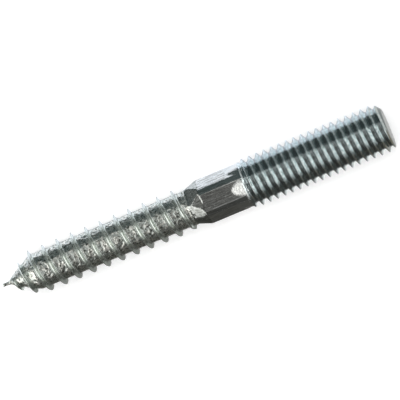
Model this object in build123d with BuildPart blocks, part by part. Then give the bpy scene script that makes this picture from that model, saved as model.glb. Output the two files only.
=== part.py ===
from build123d import *
import math
import os

# A hanger bolt: a gimlet point and wood thread, a hexagon to turn it by, and a metric thread.
# It is one rolled piece that lies along X with its point towards -X. Z = 0 is the surface it
# lies on, and its axis is half a thread diameter above that.

# Lengths along the bolt
wood_length = 32.25  # from the tip of the point to the end of the wood thread
drive_length = 8.95  # plain stretch that carries the hexagon
machine_length = 24.0  # metric thread with its end bevel

# Metric thread, right hand, ISO profile
thread_diameter = 8.0  # over the crests
thread_pitch = 1.25
thread_run_in = 1.4  # stretch over which the ridge climbs out of the round blank
thread_turn = 122.4  # where round the bolt the ridge stands at the start, in degrees
end_bevel = 1.0  # stretch over which the last turns are cut down to the root

# Wood thread, right hand
core_step = 0.74  # how far the core lies below the round blank
wood_pitch = 2.44
ridge_height = 0.78
ridge_base = 0.86  # width of the ridge where it stands on the core
ridge_crest = 0.14  # width of the flat along its top
ridge_run_out = 1.5  # stretch over which it sinks away next to the hexagon
ridge_turn = 249.0  # where round the bolt the ridge would stand at the tip, in degrees

# Gimlet point
point_length = 5.65  # from the tip to the full core
nib_length = 1.2  # thin stem that the point ends in
nib_diameter = 0.4
knob_diameter = 0.5  # small blunt end of the stem
first_ridge = 1.5  # from the tip to where the ridge begins
ridge_growth = 1.2  # stretch over which it reaches its full height

# Hexagon
flat_depth = 0.27  # how far each flat is pressed below the round blank
facet_length = 2.0  # slope of the corner facets, from the core up to the full corners
tongue_length = 1.85  # slope where each flat runs out into the round blank
collar_length = 0.2  # round blank between the flats and the metric thread
drive_turn = 4.0  # angle of one corner round the bolt, in degrees

# Worked out from the sizes above
overall_length = wood_length + drive_length + machine_length
crest_radius = thread_diameter / 2
thread_depth = 0.6134 * thread_pitch
root_radius = crest_radius - thread_depth
blank_radius = crest_radius - 0.3248 * thread_pitch
core_radius = blank_radius - core_step
flat_radius = blank_radius - flat_depth
nib_radius = nib_diameter / 2
point_x = -overall_length / 2
drive_x = point_x + wood_length
machine_x = drive_x + drive_length
end_x = overall_length / 2
wood_lean = (ridge_base - ridge_crest) / 2 / ridge_height
thread_base = thread_pitch * 5 / 6
thread_lean = math.tan(math.pi / 6)

# Building allowances
bite = 0.12 * thread_pitch  # how far a ridge reaches into what carries it
clear = 0.5  # how far a cutting form reaches past what it cuts
turn_steps = 12  # sections in one turn of a ridge that changes as it goes

bolt_axis = Axis((0, 0, crest_radius), (1, 0, 0))
length_plane = Plane((0, 0, crest_radius), x_dir=(1, 0, 0), z_dir=(0, -1, 0))


def outward(turn):
    """Direction away from the axis at an angle round the bolt, counted from +Y towards +Z."""
    return Vector(0, math.cos(math.radians(turn)), math.sin(math.radians(turn)))


def across(x, turn=0):
    """Plane across the bolt, its x direction pointing outwards at the angle given."""
    return Plane((x, 0, crest_radius), x_dir=outward(turn), z_dir=(1, 0, 0))


def ridge_plane(x, turn, radius):
    """Plane through the axis, with its origin on the core and its x direction outwards."""
    out = outward(turn)
    origin = Vector(x, 0, crest_radius) + out * radius
    return Plane(origin, x_dir=out, z_dir=Vector(1, 0, 0).cross(out))


def ridge_profile(height, base, lean):
    """Trapezium on the core that bites a little way into it, with flanks that lean inwards."""
    foot = base / 2 + bite * lean
    top = base / 2 - height * lean
    Polygon((-bite, foot), (height, top), (height, -top), (-bite, -foot), align=None)


def ridge_path(x, turn, pitch, length, radius):
    """Right-hand helix round the axis that starts at a given place and angle."""
    helix = Helix(pitch, length, radius, (x, 0, crest_radius), (1, 0, 0), mode=Mode.PRIVATE)
    return helix.rotate(bolt_axis, turn - 90)


def wood_turn(x):
    """Angle round the bolt at which the wood ridge passes a place along it."""
    return ridge_turn + 360 * (x - point_x) / wood_pitch


def machine_turn(x):
    """Angle round the bolt at which the metric ridge passes a place along it."""
    return thread_turn + 360 * (x - machine_x) / thread_pitch


# Core of the point and the wood thread
with BuildPart() as core:
    with BuildSketch(length_plane):
        with BuildLine():
            Polyline(
                (point_x, 0),
                (point_x, 0.3 * knob_diameter),
                (point_x + knob_diameter / 2, knob_diameter / 2),
                (point_x + knob_diameter, nib_radius),
                (point_x + nib_length, nib_radius),
                (point_x + point_length, core_radius),
                (drive_x + facet_length, core_radius),
                (drive_x + facet_length, 0),
                close=True,
            )
        make_face()
    revolve(axis=bolt_axis)

# Wood ridge up the cone of the point, growing to its full height
with BuildPart() as point_ridge:
    steps = math.ceil((point_length - first_ridge) / wood_pitch * turn_steps)
    for step in range(steps + 1):
        along = first_ridge + (point_length - first_ridge) * step / steps
        share = (along - nib_length) / (point_length - nib_length)
        radius = nib_radius + (core_radius - nib_radius) * share
        grown = min(1, (1 + 2 * (along - first_ridge) / ridge_growth) / 3)
        with BuildSketch(ridge_plane(point_x + along, wood_turn(point_x + along), radius)):
            ridge_profile(ridge_height * grown, ridge_base, wood_lean)
    loft()

# Wood ridge round the straight core
full_x = point_x + point_length
fade_x = drive_x - ridge_run_out
with BuildPart() as core_ridge:
    with BuildSketch(ridge_plane(full_x, wood_turn(full_x), core_radius)):
        ridge_profile(ridge_height, ridge_base, wood_lean)
    path = ridge_path(full_x, wood_turn(full_x), wood_pitch, fade_x - full_x, core_radius)
    sweep(path=path, is_frenet=True)

# Wood ridge sinking away beside the hexagon
with BuildPart() as fading_ridge:
    steps = math.ceil(ridge_run_out / wood_pitch * turn_steps)
    for step in range(steps + 1):
        share = step / steps
        x = fade_x + ridge_run_out * share
        height = ridge_height - (ridge_height + bite / 2) * share
        with BuildSketch(ridge_plane(x, wood_turn(x), core_radius)):
            ridge_profile(height, ridge_base, wood_lean)
    loft()

# Hexagon with lands of the round blank left on its corners, and a facet below each corner
with BuildPart() as drive:
    facet_slope = core_step / facet_length
    run_in = (core_radius - (core_radius - bite) * math.cos(math.pi / 6)) / facet_slope
    with BuildSketch(across(drive_x - run_in, drive_turn)):
        RegularPolygon(flat_radius, 6, major_radius=False, rotation=30)
        Circle(blank_radius, mode=Mode.INTERSECT)
    extrude(amount=run_in + drive_length)
    with BuildSketch(across(drive_x - run_in, drive_turn + 30)):
        RegularPolygon(core_radius - run_in * facet_slope, 6, major_radius=False, rotation=30)
    taper = -math.degrees(math.atan(facet_slope))
    extrude(amount=run_in + drive_length, taper=taper, mode=Mode.INTERSECT)

# Root of the metric thread, with the collar of round blank and its slope down to the flats
with BuildPart() as machine_root:
    with BuildSketch(length_plane):
        with BuildLine():
            tongue_slope = flat_depth / tongue_length
            collar_x = machine_x - collar_length
            Polyline(
                (collar_x - tongue_length - clear, 0),
                (collar_x - tongue_length - clear, flat_radius - clear * tongue_slope),
                (collar_x, blank_radius),
                (machine_x, blank_radius),
                (machine_x + blank_radius - root_radius, root_radius),
                (end_x, root_radius),
                (end_x, 0),
                close=True,
            )
        make_face()
    revolve(axis=bolt_axis)

# Metric ridge climbing out of the blank
climb_x = machine_x - thread_run_in / 4
whole_x = climb_x + thread_run_in
with BuildPart() as climbing_ridge:
    steps = math.ceil(thread_run_in / thread_pitch * turn_steps)
    buried = blank_radius - root_radius - bite
    for step in range(steps + 1):
        share = step / steps
        x = climb_x + thread_run_in * share
        with BuildSketch(ridge_plane(x, machine_turn(x), root_radius)):
            ridge_profile(buried + (thread_depth - buried) * share, thread_base, thread_lean)
    loft()

# Metric ridge at its full height, cut off square at the end of the bolt and bevelled
with BuildPart() as machine_ridge:
    with BuildSketch(ridge_plane(whole_x, machine_turn(whole_x), root_radius)):
        ridge_profile(thread_depth, thread_base, thread_lean)
    run = end_x + thread_pitch - whole_x
    path = ridge_path(whole_x, machine_turn(whole_x), thread_pitch, run, root_radius)
    sweep(path=path, is_frenet=True)
    with BuildSketch(length_plane):
        with BuildLine():
            end_radius = root_radius - bite / 2
            bevel_slope = (crest_radius - end_radius) / end_bevel
            Polyline(
                (drive_x, 0),
                (drive_x, crest_radius + clear),
                (end_x - end_bevel - clear / bevel_slope, crest_radius + clear),
                (end_x, end_radius),
                (end_x, 0),
                close=True,
            )
        make_face()
    revolve(axis=bolt_axis, mode=Mode.INTERSECT)

# Metric thread in one
with BuildPart() as machine_thread:
    add(machine_root.part)
    add(machine_ridge.part)
    add(climbing_ridge.part)

# The whole bolt, one stretch after another
with BuildPart() as hanger_bolt:
    add(core.part)
    add(core_ridge.part)
    add(point_ridge.part)
    add(fading_ridge.part)
    add(drive.part)
    add(machine_thread.part)

hanger_bolt.part.label = "hanger_bolt"
os.makedirs("parts", exist_ok=True)
export_step(hanger_bolt.part, "parts/hanger_bolt.step")
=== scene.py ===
import math

import bmesh
import bpy
import numpy as np
from mathutils import Matrix, Vector, noise


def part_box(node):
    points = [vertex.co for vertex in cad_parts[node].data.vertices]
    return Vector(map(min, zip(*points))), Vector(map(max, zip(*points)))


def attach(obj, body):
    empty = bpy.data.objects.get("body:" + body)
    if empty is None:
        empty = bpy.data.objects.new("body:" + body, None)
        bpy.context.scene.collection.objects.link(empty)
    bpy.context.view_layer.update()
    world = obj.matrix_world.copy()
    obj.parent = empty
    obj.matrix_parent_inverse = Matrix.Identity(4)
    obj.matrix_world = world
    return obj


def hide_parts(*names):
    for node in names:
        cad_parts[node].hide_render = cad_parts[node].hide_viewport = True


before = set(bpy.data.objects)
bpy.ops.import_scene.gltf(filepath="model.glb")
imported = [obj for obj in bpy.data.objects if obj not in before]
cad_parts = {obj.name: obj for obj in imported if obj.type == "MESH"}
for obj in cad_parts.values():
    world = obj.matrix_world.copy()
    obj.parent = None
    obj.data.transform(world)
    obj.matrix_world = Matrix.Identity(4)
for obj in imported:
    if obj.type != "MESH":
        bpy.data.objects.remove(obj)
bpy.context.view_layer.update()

# The bolt lies along X on the floor, its point towards -X. Its surface is worked out in
# millimetres: s is the distance from the tip of the point along the axis, and turn is the
# angle round the axis in degrees, counted from +Y towards +Z.
MM = 0.001
low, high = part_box("hanger_bolt")
LENGTH = (high.x - low.x) / MM
CREST_RADIUS = (high.y - low.y) / MM / 2

# Wood thread
WOOD_END = 32.25
WOOD_PITCH = 2.44
WOOD_TURN = 249.0  # where round the bolt the ridge would stand at the tip
CORE_STEP = 0.74  # how far the core lies below the round blank
CORE_WAIST = 0.02  # how much the core narrows between two turns of the ridge
WAIST_START = 0.43  # distance from the ridge at which it begins to
RIDGE_RUN_OUT = 1.5

# Section of the wood ridge, with distances along the axis from its middle
RIDGE_HEIGHT = 0.78
RIDGE_BACK = -0.24
CREST_BACK = -0.01
CREST_FRONT = 0.15
RIDGE_FRONT = 0.38
CREST_SLOPE = 0.58  # how steeply the crest falls towards its back edge
FOOT_SLOPE = 0.5  # low slope in front of the ridge
FOOT_WIDTH = 0.19

# Low rings where the wood thread ends
SHOULDER_RINGS = (31.5, 32.0)
RING_HEIGHT = 0.07
RING_WIDTH = 0.09

# Craters in the core, and what the dies leave once in every turn: the angle round the bolt,
# the distance ahead of the ridge, the radius and the depth
PIT_COUNT = 520
PIT_RADII = (0.09, 0.2)
PIT_DEPTH = 0.45  # share of its radius
DEEPEST_PIT = 0.14
FIRST_PIT = 4.0
DIE_MARKS = ((31.6, 1.55, 0.15, 0.14), (120, 1.45, 0.16, 0.12), (95, 1.75, 0.13, 0.08))
MARKED_TURNS = range(2, 14)

# Gimlet point
POINT_LENGTH = 5.65
NIB_LENGTH = 1.2
NIB_RADIUS = 0.25
KNOB_RADIUS = 0.28
CONE_BULGE = 0.85  # below 1, the cone is a little fuller than straight
FIRST_RIDGE = 1.5
RIDGE_GROWTH = 1.2
TIGHT_TURN = 0.5  # how far the first turn of the ridge is drawn in, at most
TIGHTENING = (0.2, 1.9)
EASING = (2.1, 4.6)

# Hexagon. Its part next to the wood thread was pressed at a slightly different angle, and a
# bowed burr runs across each flat where the two parts meet.
DRIVE_LENGTH = 8.95
DRIVE_TURN = 4.0
FLAT_DEPTH = 0.27
TONGUE_LENGTH = 1.85
COLLAR_LENGTH = 0.2
FACET_LENGTH = 2.0
FACET_TURN = -3.5
FACET_FLATNESS = 0.94
PRESSED_DEPTH = 0.02
BURR_PLACE = 0.18
BURR_BOW = 1.6
BURR_HEIGHT = 0.045
BURR_WIDTH = 0.06
PRESS_STEP = 0.1  # stretch below the burr over which the pressed part begins
WORN_TURNS = (95, 118)  # the facet past these angles is worn down to a cone
WORN_CONE = 1.015  # its radius there, as a share of the facets' own cone
UNWORN_LIFT = 0.3  # lifts that cone clear of the facets that aren't worn

# Metric thread
THREAD_PITCH = 1.25
THREAD_TURN = 100.0
THREAD_RUN_IN = 0.9
CREST_FLAT = 0.06
BLANK_REACH = 0.15  # how far the round blank goes on under the first turn
BLANK_SLOPE = 0.6  # its slope down to the root
BEVEL_SLOPE = 1.2
BEVEL_RIM = 0.13  # how far the rim of the end face lies below the root
BEVEL_SKEW = 0.36  # how much deeper the bevel is on one side
END_DOME = 0.06

# Unevenness of the steel: lumps in the rolled core, and a finer one all over that is higher
# on the metric thread. The noises have about so many features in a millimetre.
LUMP_HEIGHT = 0.026
FINE_HEIGHT = 0.003
THREAD_FINE_HEIGHT = 0.007
COARSE_NOISE = 2.2
FINE_NOISE = 4.0

# Roundings, as the stretch over which two surfaces blend
PRESSED_EDGE = 0.02
RIDGE_EDGE = 0.03
SHOULDER_FILLET = 0.05
ROOT_FILLET = 0.06

THREAD_DEPTH = 0.6134 * THREAD_PITCH
ROOT_RADIUS = CREST_RADIUS - THREAD_DEPTH
BLANK_RADIUS = CREST_RADIUS - 0.3248 * THREAD_PITCH
CORE_RADIUS = BLANK_RADIUS - CORE_STEP
FLAT_RADIUS = BLANK_RADIUS - FLAT_DEPTH
THREAD_START = WOOD_END + DRIVE_LENGTH
TONGUE_SLOPE = FLAT_DEPTH / TONGUE_LENGTH
BLANK_END = THREAD_START + BLANK_REACH
COLLAR_RADIUS = BLANK_RADIUS + TONGUE_SLOPE * (BLANK_END - THREAD_START + COLLAR_LENGTH)
END = LENGTH - END_DOME

# Rows of the mesh follow the ridges: each row moves on by one pitch in a turn. These are the
# distances of the rows from the middle of a ridge.
WOOD_ROWS = [-1.22, -1.05, -0.88, -0.72, -0.58, -0.48, -0.40, -0.29, -0.17, -0.08, -0.03]
WOOD_ROWS += [-off for off in WOOD_ROWS[:0:-1]]
METRIC_ROWS = [-0.625, -0.57, -0.52, -0.46, -0.39, -0.31, -0.23, -0.16, -0.1, -0.06, -0.02]
METRIC_ROWS += [-off for off in METRIC_ROWS[:0:-1]]
PER_TURN = len(WOOD_ROWS)
TIP_SPACING = 0.06
DRIVE_SPACING = 0.085
END_SPACING = 0.22

# Angles of the mesh's columns in each sixth of a turn, from a corner of the hexagon
SECTOR = [0, 3.5, 5.8, 7.0, 8.2, 11, 14.5, 18.5, 23, 27.5, 32.5, 37, 41.5, 45.5, 49, 51.8, 53, 54.2]

SHARP_ANGLE = 55  # degrees between faces from which an edge shades sharp


def lesser(a, b, soft):
    """The smaller of two heights, with the corner between them rounded."""
    share = np.clip(0.5 + 0.5 * (b - a) / soft, 0, 1)
    return b + (a - b) * share - soft * share * (1 - share)


def greater(a, b, soft):
    """The larger of two heights, with the corner between them filled."""
    return -lesser(-a, -b, soft)


def smooth_share(value, start, end):
    """0 below the start, 1 above the end, and smooth between them."""
    share = np.clip((value - start) / (end - start), 0, 1)
    return share * share * (3 - 2 * share)


def bump_at(distance, width):
    """Rounded bump, 1 at its middle."""
    return np.exp(-((distance / width) ** 2))


def to_ridge(s, turn, pitch, turn_at_zero):
    """Distance along the axis from the nearest pass of a right-hand ridge."""
    ahead = s - (turn - turn_at_zero) / 360 * pitch
    return (ahead + pitch / 2) % pitch - pitch / 2


def core(s):
    """Radius of the point's stem and cone, and of the core of the wood thread."""
    knob = np.sqrt(np.clip(KNOB_RADIUS**2 - (s - KNOB_RADIUS) ** 2, 0, None))
    stem = np.where(s > KNOB_RADIUS, NIB_RADIUS, 0)
    share = np.clip((s - NIB_LENGTH) / (POINT_LENGTH - NIB_LENGTH), 0, 1)
    full = NIB_RADIUS + (CORE_RADIUS - NIB_RADIUS) * share**CONE_BULGE
    cone = np.where(s > KNOB_RADIUS, full, 0)
    return np.maximum(knob, np.maximum(stem, cone))


def tightened(s):
    """Distance from the tip when the first turn of the wood ridge is a little tighter."""
    return s + TIGHT_TURN * smooth_share(s, *TIGHTENING) * (1 - smooth_share(s, *EASING))


def wood_thread(s, turn, even):
    """Radius of the point and the wood thread. even is s before the first turn tightens."""
    off = to_ridge(even, turn, WOOD_PITCH, WOOD_TURN)
    along = s - off
    grown = np.clip((1 + 2 * (along - FIRST_RIDGE) / RIDGE_GROWTH) / 3, 0, 1)
    grown = grown * (along > FIRST_RIDGE)
    left = np.clip((WOOD_END - along) / RIDGE_RUN_OUT, 0, 1)
    height = RIDGE_HEIGHT * grown * left
    back = (off - RIDGE_BACK) / (CREST_BACK - RIDGE_BACK)
    front = (RIDGE_FRONT - off) / (RIDGE_FRONT - CREST_FRONT)
    rise = RIDGE_HEIGHT * np.minimum(back, front)
    top = height + CREST_SLOPE * np.minimum(off - CREST_FRONT, 0) * grown * left
    skirt = FOOT_SLOPE * (RIDGE_FRONT + FOOT_WIDTH - off) * grown * left * (off > 0)
    ridge = greater(lesser(rise, top, RIDGE_EDGE), skirt, RIDGE_EDGE)
    ridge = greater(ridge, np.zeros_like(rise), RIDGE_EDGE)
    waist = CORE_WAIST * smooth_share(np.abs(off), WAIST_START, WOOD_PITCH / 2)
    whole = smooth_share(s, POINT_LENGTH, POINT_LENGTH + 2)
    whole = whole * smooth_share(-s, -WOOD_END, -WOOD_END + 1)
    rings = sum(RING_HEIGHT * bump_at(s - ring, RING_WIDTH) for ring in SHOULDER_RINGS)
    return core(s) + ridge - waist * whole + rings


def from_nearest(turn, first):
    """Angle in radians from the nearest of six directions."""
    return np.radians((turn - first + 30) % 60 - 30)


def drive(s, turn):
    """Radius of the hexagon, with its facets, burr and tongues."""
    off_flat = from_nearest(turn, DRIVE_TURN + 30)
    off_pressed = from_nearest(turn, FACET_TURN + 30)
    burr_at = WOOD_END + FACET_LENGTH + BURR_PLACE - BURR_BOW * off_pressed**2
    burr = BURR_HEIGHT * bump_at(s - burr_at, BURR_WIDTH)
    pressed = smooth_share(burr_at - s, 0, PRESS_STEP)
    flat = FLAT_RADIUS / np.cos(off_flat) * (1 - pressed)
    flat = flat + FLAT_RADIUS / np.cos(off_pressed) * pressed
    flat = flat + burr - PRESSED_DEPTH * pressed
    tongue = BLANK_RADIUS - TONGUE_SLOPE * (THREAD_START - COLLAR_LENGTH - s)
    body = greater(lesser(flat, BLANK_RADIUS, PRESSED_EDGE), tongue, PRESSED_EDGE)
    cone = CORE_RADIUS + CORE_STEP / FACET_LENGTH * (s - WOOD_END)
    facet = cone / np.cos(FACET_FLATNESS * from_nearest(turn, FACET_TURN))
    unworn = smooth_share(-turn, -WORN_TURNS[1], -WORN_TURNS[0])
    worn = cone * (WORN_CONE + UNWORN_LIFT * unworn)
    return lesser(body, lesser(facet, worn, RIDGE_EDGE), PRESSED_EDGE)


def metric_thread(s, turn):
    """Radius of the metric thread, from its first turn on the collar to its end bevel."""
    turn_at_tip = THREAD_TURN - 360 * THREAD_START / THREAD_PITCH
    off = to_ridge(s, turn, THREAD_PITCH, turn_at_tip)
    along = s - off
    climb = np.clip((along - THREAD_START + COLLAR_LENGTH) / THREAD_RUN_IN, 0, 1)
    crest = BLANK_RADIUS + (CREST_RADIUS - BLANK_RADIUS) * climb
    flank = CREST_RADIUS - (np.abs(off) - CREST_FLAT / 2) / math.tan(math.pi / 6)
    root = np.clip(COLLAR_RADIUS - BLANK_SLOPE * (s - BLANK_END), ROOT_RADIUS, None)
    radius = greater(lesser(flank, crest, PRESSED_EDGE), root, ROOT_FILLET)
    skew = BEVEL_SKEW * np.cos(np.radians(turn))
    bevel = ROOT_RADIUS - BEVEL_RIM - skew + (END - s) * BEVEL_SLOPE
    return lesser(radius, bevel, ROOT_FILLET)


def surface(s, turn, even):
    """Radius of the bolt's surface, before its roughness."""
    wood = wood_thread(s, turn, even)
    hexagon = drive(s, turn)
    metric = metric_thread(s, turn)
    radius = np.where(s < WOOD_END - 1.2, wood, greater(wood, hexagon, SHOULDER_FILLET))
    radius = np.where(s > WOOD_END + FACET_LENGTH / 2, hexagon, radius)
    collar = np.where(s < BLANK_END, lesser(metric, hexagon, PRESSED_EDGE), metric)
    return np.where(s > THREAD_START - COLLAR_LENGTH, collar, radius)


def roughness(s, radius, points):
    """Unevenness of the rolled and pressed surface, in millimetres."""
    rolled = smooth_share(s, 2.0, 4.0)
    rolled = rolled * smooth_share(-s, -WOOD_END - 0.3, -WOOD_END + 0.3)
    crest = smooth_share(radius, CORE_RADIUS + 0.1, CORE_RADIUS + 0.45)
    lumpy = LUMP_HEIGHT * rolled * (1 - 0.9 * crest)
    threaded = smooth_share(s, THREAD_START - 0.6, THREAD_START)
    fine = FINE_HEIGHT + THREAD_FINE_HEIGHT * threaded
    coarse_noise = np.array([noise.noise(Vector(point) * COARSE_NOISE) for point in points])
    fine_noise = np.array([noise.noise(Vector(point) * FINE_NOISE) for point in points])
    mixed_noise = (coarse_noise + 0.7 * fine_noise).reshape(s.shape)
    return lumpy * (mixed_noise - 0.4) + fine * fine_noise.reshape(s.shape)


def pits(s, turn, radius):
    """Depth of the small craters in the core of the wood thread and of the dies' marks."""
    depth = np.zeros_like(s)
    random = np.random.default_rng(11)
    places = []
    for _ in range(PIT_COUNT):
        size = random.uniform(*PIT_RADII)
        at_s = random.uniform(FIRST_PIT, WOOD_END - 0.3)
        places.append((at_s, random.uniform(0, 360), size, PIT_DEPTH * size))
    for mark_turn, ahead, size, deep in DIE_MARKS:
        for k in MARKED_TURNS:
            at_s = (mark_turn - WOOD_TURN) / 360 * WOOD_PITCH + k * WOOD_PITCH + ahead
            places.append((at_s, mark_turn, size, deep))
    for at_s, at_turn, size, deep in places:
        near = np.abs(s - at_s) < 2.5 * size
        across = ((turn[near] - at_turn + 180) % 360 - 180) / 360 * 2 * math.pi * radius[near]
        distance = ((s[near] - at_s) ** 2 + across**2) / size**2
        depth[near] += deep * np.exp(-distance)
    on_core = 1 - smooth_share(radius, CORE_RADIUS + 0.1, CORE_RADIUS + 0.35)
    return np.minimum(depth, DEEPEST_PIT) * on_core


def row_places():
    """Places along the bolt of the mesh's rows, where they cross turn = 0."""
    rows = list(np.arange(-1.3, 1.3, TIP_SPACING))
    ridge = -WOOD_TURN / 360 * WOOD_PITCH
    while ridge < rows[-1] + 1.25:
        ridge += WOOD_PITCH
    while ridge < WOOD_END - 0.5:
        rows += [ridge + off for off in WOOD_ROWS]
        ridge += WOOD_PITCH
    ridge = THREAD_START - THREAD_TURN / 360 * THREAD_PITCH
    first = ridge - THREAD_PITCH / 2
    count = round((first - rows[-1]) / DRIVE_SPACING)
    rows += list(np.linspace(rows[-1], first, count + 1)[1:-1])
    while ridge < LENGTH + THREAD_PITCH:
        rows += [ridge + off for off in METRIC_ROWS]
        ridge += THREAD_PITCH
    rows = [row for row in rows if row < LENGTH + THREAD_PITCH]
    rows += list(np.arange(rows[-1] + 0.15, END + ROOT_RADIUS, END_SPACING))
    rows += list(END + ROOT_RADIUS + 0.1 * np.arange(1, PER_TURN + 2))
    return np.array(rows)


def grid_points(s, turn, radius):
    """Points in millimetres for places on the bolt. Past its end they stay on the end face."""
    x = low.x / MM + np.clip(s, 0, END)
    y = radius * np.cos(np.radians(turn))
    z = CREST_RADIUS + radius * np.sin(np.radians(turn))
    return np.stack([x, y, z], -1)


def grid_faces(count_rows, count_turns):
    """Four-sided faces between the rows. The last column joins the first one turn further on."""
    faces = []
    for i in range(count_rows - 1):
        for j in range(count_turns - 1):
            a = i * count_turns + j
            faces.append((a, a + 1, a + count_turns + 1, a + count_turns))
        if i + PER_TURN + 1 < count_rows:
            a = i * count_turns + count_turns - 1
            b = (i + PER_TURN) * count_turns
            faces.append((a, b, b + count_turns, a + count_turns))
    return faces


def placed(name, data):
    """New object in the scene."""
    made = bpy.data.objects.new(name, data)
    bpy.context.scene.collection.objects.link(made)
    return made


def make_bolt():
    """The whole bolt, with where its ridge lies and where the hollow ahead of the ridge lies, which
    the material darkens as painted shade.
    """
    rows = row_places()
    turns = np.array([60 * k + off + DRIVE_TURN for k in range(6) for off in SECTOR])
    share = (turns - turns[0]) / 360
    even = rows[:-PER_TURN, None] * (1 - share) + rows[PER_TURN:, None] * share
    s = tightened(even)
    turn = np.broadcast_to(turns, s.shape)
    place = np.clip(s, 0, END)
    radius = surface(place, turn, np.clip(even, 0, END))
    rough_points = grid_points(s, turn, radius).reshape(-1, 3).tolist()
    radius = radius + roughness(place, radius, rough_points)
    radius = radius - pits(place, turn, radius)
    inner = np.clip(1 - np.clip(s - END, 0, None) / ROOT_RADIUS, 0, 1)
    radius = np.minimum(radius * inner, CREST_RADIUS)
    radius = np.where(s <= 0, 0, radius)
    points = grid_points(s, turn, radius)
    points[..., 0] += np.where(s > END, END_DOME * (1 - inner**2), 0)

    # The hollow is the narrow strip of the core that the front flank of the ridge runs into; the
    # material darkens it as painted shade
    off = to_ridge(even, turn, WOOD_PITCH, WOOD_TURN)
    on_wood = smooth_share(s, FIRST_RIDGE, FIRST_RIDGE + 0.3)
    on_wood = on_wood * smooth_share(-s, -WOOD_END, -WOOD_END + 0.6)
    ridge = on_wood * smooth_share(off, -0.42, -0.30) * smooth_share(-off, -0.62, -0.52)
    shaded_hollow = on_wood * smooth_share(off, 0.15, 0.20) * smooth_share(-off, -0.40, -0.34)

    mesh = bpy.data.meshes.new("bolt_surface")
    mesh.from_pydata((points.reshape(-1, 3) * MM).tolist(), [], grid_faces(*s.shape))
    for name, values in (("ridge_share", ridge), ("shaded_hollow_share", shaded_hollow)):
        layer = mesh.attributes.new(name, "FLOAT", "POINT")
        layer.data.foreach_set("value", values.reshape(-1))
    bm = bmesh.new()
    bm.from_mesh(mesh)
    bmesh.ops.remove_doubles(bm, verts=bm.verts, dist=2e-7)
    bmesh.ops.dissolve_degenerate(bm, edges=bm.edges, dist=1e-7)
    bmesh.ops.recalc_face_normals(bm, faces=bm.faces)
    bm.to_mesh(mesh)
    bm.free()
    mesh.shade_smooth()
    mesh.set_sharp_from_angle(angle=math.radians(SHARP_ANGLE))
    mesh.materials.append(zinc_plate())
    return placed("bolt_surface", mesh)


class Value:
    """A shader socket that Python's operators work on."""

    def __init__(self, tree, socket=None):
        self.tree = tree
        self.socket = socket

    def node(self, kind, settings, inputs, output=0):
        """A node of any kind, with its settings and the values or links of its sockets."""
        made = self.tree.nodes.new(kind)
        for name, value in settings.items():
            setattr(made, name, value)
        for name, value in inputs.items():
            if isinstance(value, Value):
                self.tree.links.new(value.socket, made.inputs[name])
            else:
                made.inputs[name].default_value = value
        return Value(self.tree, made.outputs[output] if made.outputs else None)

    def beside(self, output):
        """Another output of the node that this value comes from."""
        return Value(self.tree, self.socket.node.outputs[output])

    def math(self, operation, *others):
        values = dict(enumerate((self, *others)))
        return self.node("ShaderNodeMath", {"operation": operation}, values)

    def __add__(self, other):
        return self.math("ADD", other)

    __radd__ = __add__

    def __mul__(self, other):
        return self.math("MULTIPLY", other)

    __rmul__ = __mul__

    def __sub__(self, other):
        return self.math("SUBTRACT", other)

    def __rsub__(self, other):
        return self * -1 + other

    def rising(self, start, end):
        """0 below the start, 1 above the end, and smooth between them."""
        settings = {"interpolation_type": "SMOOTHSTEP"}
        return self.node("ShaderNodeMapRange", settings, {0: self, 1: start, 2: end})

    def mix(self, one, other):
        """Colour that goes from one to the other as this value goes from 0 to 1."""
        return self.node("ShaderNodeMix", {"data_type": "RGBA"}, {0: self, 6: one, 7: other}, 2)

    def vector(self, operation, inputs):
        """This place after a step of vector maths."""
        settings = {"operation": operation}
        return self.node("ShaderNodeVectorMath", settings, {0: self, **inputs})

    def axes(self):
        """The X, Y and Z of this place."""
        x = self.node("ShaderNodeSeparateXYZ", {}, {0: self})
        return x, x.beside("Y"), x.beside("Z")

    def noise(self, scale, detail):
        """Noise over this place, with features of 1 / scale."""
        inputs = {"Vector": self, "Scale": scale, "Detail": detail}
        return self.node("ShaderNodeTexNoise", {}, inputs)


def cleared(holder):
    """Emptied node tree of a material or world, to make its nodes from."""
    holder.use_nodes = True
    holder.node_tree.nodes.clear()
    return Value(holder.node_tree)


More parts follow.
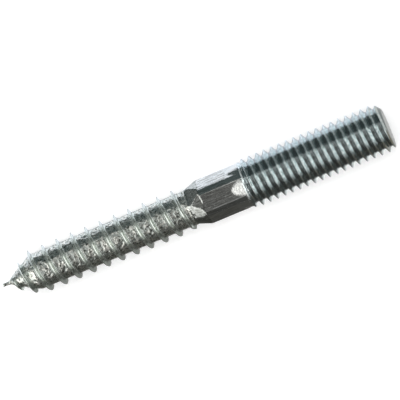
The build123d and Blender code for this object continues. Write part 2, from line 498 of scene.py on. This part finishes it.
def zinc_plate():
    """Bright zinc: grimy and pitted in the wood thread, streaked on the flats, bluish beyond, with
    painted shade in the hollows ahead of the wood ridge, in the roots of the metric thread and on
    the pressed facets.
    """
    material = bpy.data.materials.new("zinc_plate")
    nodes = cleared(material)
    place = nodes.node("ShaderNodeTexCoord", {}, {}, "Object")
    place = place.vector("SCALE", {"Scale": 1 / MM})
    x, y, z = place.axes()
    height = z - CREST_RADIUS
    radius = (y * y + height * height).math("SQRT")
    along = x - low.x / MM

    # Where the stretches of the bolt are, each 1 on its own stretch
    wood = 1 - along.rising(WOOD_END - 0.3, WOOD_END + 0.2)
    metric = along.rising(THREAD_START - 0.2, THREAD_START + 0.4)
    flat = (1 - wood) * (1 - metric)
    pressed = flat * (1 - along.rising(WOOD_END + FACET_LENGTH, WOOD_END + FACET_LENGTH + 0.2))
    plain_flat = flat * (1 - along.rising(THREAD_START - 2.4, THREAD_START - 2.0))
    ridge = nodes.node("ShaderNodeAttribute", {"attribute_name": "ridge_share"}, {}, "Fac")
    shaded_hollow = nodes.node("ShaderNodeAttribute", {"attribute_name": "shaded_hollow_share"}, {}, "Fac")
    core_only = wood * (1 - ridge)
    # Painted shade: the roots of the metric thread are given a darker colour.
    shaded_root = metric * (1 - radius.rising(ROOT_RADIUS, ROOT_RADIUS + 0.05))

    cloud = place.noise(0.35, 2)
    mottle = place.noise(1.7, 3)
    speck = place.noise(3.2, 2)
    grain = place.noise(9.0, 2)
    streak = place.vector("MULTIPLY", {1: (0.12, 1, 1)}).noise(4.0, 2)

    # Each layer of colour lies over the one before it
    shade = cloud.rising(0.35, 0.65).mix((0.73, 0.75, 0.73, 1), (0.78, 0.79, 0.76, 1))
    layers = (
        (wood * 0.9, (0.72, 0.77, 0.72, 1)),
        (metric, (0.74, 0.80, 0.80, 1)),
        (core_only * mottle.rising(0.46, 0.55), (1.0, 1.0, 0.92, 1)),
        (core_only * speck.rising(0.49, 0.57) * 0.7, (0.44, 0.46, 0.40, 1)),
        (core_only * speck.rising(0.60, 0.66) * 0.95, (0.07, 0.08, 0.07, 1)),
        (metric * speck.rising(0.48, 0.60) * 0.6, (0.38, 0.46, 0.46, 1)),
        # painted shade in the roots of the metric thread
        (shaded_root * 0.8, (0.25, 0.28, 0.28, 1)),
        (plain_flat * streak.rising(0.42, 0.60) * 0.6, (0.45, 0.45, 0.42, 1)),
        # painted shade: the pressed facets next to the wood thread are darkened, with random specks
        (pressed * (0.4 + speck.rising(0.45, 0.6) * 0.3), (0.26, 0.28, 0.25, 1)),
        # painted shade in the hollow ahead of the wood ridge
        (shaded_hollow * 0.6, (0.42, 0.47, 0.44, 1)),
    )
    for cover, colour in layers:
        shade = cover.mix(shade, colour)

    rough = 0.15 + core_only * 0.13 + ridge * 0.03 - metric * 0.05 + (grain - 0.5) * 0.10
    core_lumps = (mottle + speck * 0.5) * core_only * 1.7
    metric_lumps = (speck * 0.45 + grain * 0.15) * metric
    flat_lumps = (streak * 0.5 + speck * 0.3) * flat
    lumps = core_lumps + (metric_lumps + flat_lumps)
    inputs = {"Height": lumps, "Distance": 0.06 * MM, "Strength": 1.0}
    bump = nodes.node("ShaderNodeBump", {}, inputs)

    inputs = {
        "Base Color": shade,
        "Roughness": rough,
        "Metallic": 1 - ridge * 0.08,
        "Normal": bump,
    }
    metal = nodes.node("ShaderNodeBsdfPrincipled", {}, inputs)
    nodes.node("ShaderNodeOutputMaterial", {}, {"Surface": metal})
    return material


def sheet(name, x_range, y_range, lift, material):
    """Level sheet of the stage. Its ranges and its height above the floor are in millimetres."""
    corners = [(x_range[i], y_range[j], lift) for i, j in ((0, 0), (1, 0), (1, 1), (0, 1))]
    mesh = bpy.data.meshes.new(name)
    mesh.from_pydata([Vector(corner) * MM for corner in corners], [], [(0, 1, 2, 3)])
    mesh.materials.append(material)
    made = placed(name, mesh)
    return made


def card(name, x_range, y_range, lift, colour, far_colour=None, edges=None):
    """Glowing sheet that only the bolt's gloss sees, plain or shaded between two places in Y."""
    material = bpy.data.materials.new(name)
    nodes = cleared(material)
    shade = (*colour, 1)
    if far_colour:
        place = nodes.node("ShaderNodeTexCoord", {}, {}, "Object")
        y = place.axes()[1] * (1 / MM)
        shade = y.rising(*edges).mix(shade, (*far_colour, 1))
    glow = nodes.node("ShaderNodeEmission", {}, {"Color": shade})
    nodes.node("ShaderNodeOutputMaterial", {}, {"Surface": glow})
    made = sheet(name, x_range, y_range, lift, material)
    made.visible_camera = False
    made.visible_diffuse = False
    made.visible_shadow = False
    made.visible_transmission = False


def floor():
    """Pale paper that looks evenly white, and keeps the bolt's shadow."""
    material = bpy.data.materials.new("floor_paper")
    nodes = cleared(material)
    paper = nodes.node("ShaderNodeBsdfDiffuse", {}, {"Color": (0.8, 0.8, 0.8, 1)})
    camera_ray = nodes.node("ShaderNodeLightPath", {}, {}, "Is Camera Ray")
    seen = camera_ray + camera_ray.beside("Is Glossy Ray")
    seen = seen + camera_ray.beside("Is Transmission Ray")
    glow = nodes.node("ShaderNodeEmission", {}, {"Strength": seen.math("MINIMUM", 1.0) * 0.35})
    both = nodes.node("ShaderNodeAddShader", {}, {0: paper, 1: glow})
    nodes.node("ShaderNodeOutputMaterial", {}, {"Surface": both})
    sheet("floor", (-3000, 3000), (-3000, 3000), 0, material)


# Soft-edged lights of the studio that the bolt's gloss sees, each between four angles round
# the bolt and four angles of lean towards +X, and its strength
GLOWS = (
    ((60, 80, 136, 184), (-88, -78, -27, -15), 1.5),
    ((60, 72, 84, 92), (-30, -18, 18, 30), 0.28),
    ((104, 110, 116, 140), (-30, -18, 18, 30), 0.24),
    ((84, 92, 104, 110), (-30, -18, 18, 30), 0.05),
    ((40, 70, 136, 184), (32, 40, 58, 65), 1.4),
    ((-5, 8, 60, 90), (32, 40, 58, 65), 0.5),
    ((-20, 0, 68, 76), (-80, -70, -35, -25), 0.13),
    ((57, 60, 63, 66), (-60, -50, 50, 60), 0.9),
    ((-40, -30, 210, 220), (72, 80, 91, 92), 0.6),
    ((130, 148, 200, 230), (-88, -80, -63, -57), 0.7),
)


def studio():
    """Dark room with soft lights for the gloss, and plain pale surroundings for all else."""
    world = bpy.data.worlds.new("studio")
    nodes = cleared(world)
    x, y, z = nodes.node("ShaderNodeTexCoord", {}, {}, "Generated").axes()
    # around is the angle about the bolt from +Y towards +Z, lean the angle towards +X
    around = z.math("ARCTAN2", y) * math.degrees(1)
    around = around + (1 - around.rising(-90.01, -90)) * 360
    lean = x.math("ARCSINE") * math.degrees(1)

    def glow(around_edges, lean_edges, strength):
        light = around.rising(*around_edges[:2]) * (1 - around.rising(*around_edges[2:]))
        light = light * lean.rising(*lean_edges[:2]) * (1 - lean.rising(*lean_edges[2:]))
        return light * strength

    first, *others = [glow(*edges) for edges in GLOWS]
    light = sum(others, first)
    far = 1 - around.rising(64, 70)
    dark = far.mix((0.055, 0.056, 0.054, 1), (0.072, 0.090, 0.092, 1))
    colour = light.math("MINIMUM", 1).mix(dark, (1, 1, 1, 1))
    camera_ray = nodes.node("ShaderNodeLightPath", {}, {}, "Is Camera Ray")
    glossy_ray = camera_ray.beside("Is Glossy Ray")
    plain = camera_ray.mix((0.3, 0.3, 0.3, 1), (1, 1, 1, 1))
    inputs = {
        "Color": glossy_ray.mix(plain, colour),
        "Strength": glossy_ray * (light.math("MAXIMUM", 1) - 1) + 1,
    }
    back = nodes.node("ShaderNodeBackground", {}, inputs)
    nodes.node("ShaderNodeOutputWorld", {}, {"Surface": back})
    bpy.context.scene.world = world


def lights():
    """One soft lamp overhead, and the cards beside the bolt."""
    lamp = bpy.data.lights.new("soft_lamp", "AREA")
    lamp.shape = "RECTANGLE"
    lamp.size = 0.8
    lamp.size_y = 0.8
    lamp.energy = 6.0
    made = placed("soft_lamp", lamp)
    made.location = (0, 0.1, 0.7)
    made.visible_glossy = False

    reach = 1000
    near, near_edges = (-reach, -3.2), (-6, -4.3)
    near_dark = (0.075, 0.075, 0.07)
    card("near_flag_1", (-reach, 2), near, 0.2, near_dark, (0.30, 0.30, 0.29), near_edges)
    card("near_flag_2", (2, reach), near, 0.2, near_dark, (0.95, 0.95, 0.95), near_edges)
    card("far_strip_1", (-reach, 2), (4.0, 6.0), 0.25, (0.5, 0.52, 0.55))
    card("far_strip_2", (8, reach), (2, 4.6), 0.25, (0.5, 0.54, 0.58))
    far_dark = (0.072, 0.09, 0.092)
    card("far_paper", (-reach, reach), (2, reach), 0.2, (1.05, 1.1, 1.2), far_dark, (20, 25))
    end_dark, end_pale = (0.20, 0.17, 0.13), (0.62, 0.62, 0.61)
    card("end_flag", (32.66, reach), (-reach, reach), 0.3, end_dark, end_pale, (-9, -1))


# Camera: nearly overhead, a little towards the machine end
CAMERA_DISTANCE = 0.800
CAMERA_TARGET = (1.158, 0.50)
CAMERA_LEAN = 7.2
CAMERA_ROLL = 22.6
CAMERA_LENS = 464.688
SENSOR_WIDTH = 36.0


def camera():
    """Camera that looks down on the bolt and is rolled so that it runs up to the right."""
    lean, roll = map(math.radians, (CAMERA_LEAN, CAMERA_ROLL))
    away = Vector((math.sin(lean), 0, math.cos(lean)))
    target = Vector((*CAMERA_TARGET, CREST_RADIUS)) * MM
    along = Vector((math.cos(lean), 0, -math.sin(lean)))
    across = away.cross(along)
    right = along * math.cos(roll) - across * math.sin(roll)
    up = along * math.sin(roll) + across * math.cos(roll)
    lens = bpy.data.cameras.new("camera")
    lens.sensor_width = SENSOR_WIDTH
    lens.lens = CAMERA_LENS
    lens.clip_start = 0.01
    lens.clip_end = 10
    made = placed("camera", lens)
    spin = Matrix((right, up, away)).transposed().to_4x4()
    made.matrix_world = Matrix.Translation(target + away * CAMERA_DISTANCE) @ spin
    bpy.context.scene.camera = made


camera()
studio()
floor()
lights()
bpy.context.scene.view_settings.view_transform = "Standard"

bolt = make_bolt()
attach(bolt, "root")
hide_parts("hanger_bolt")
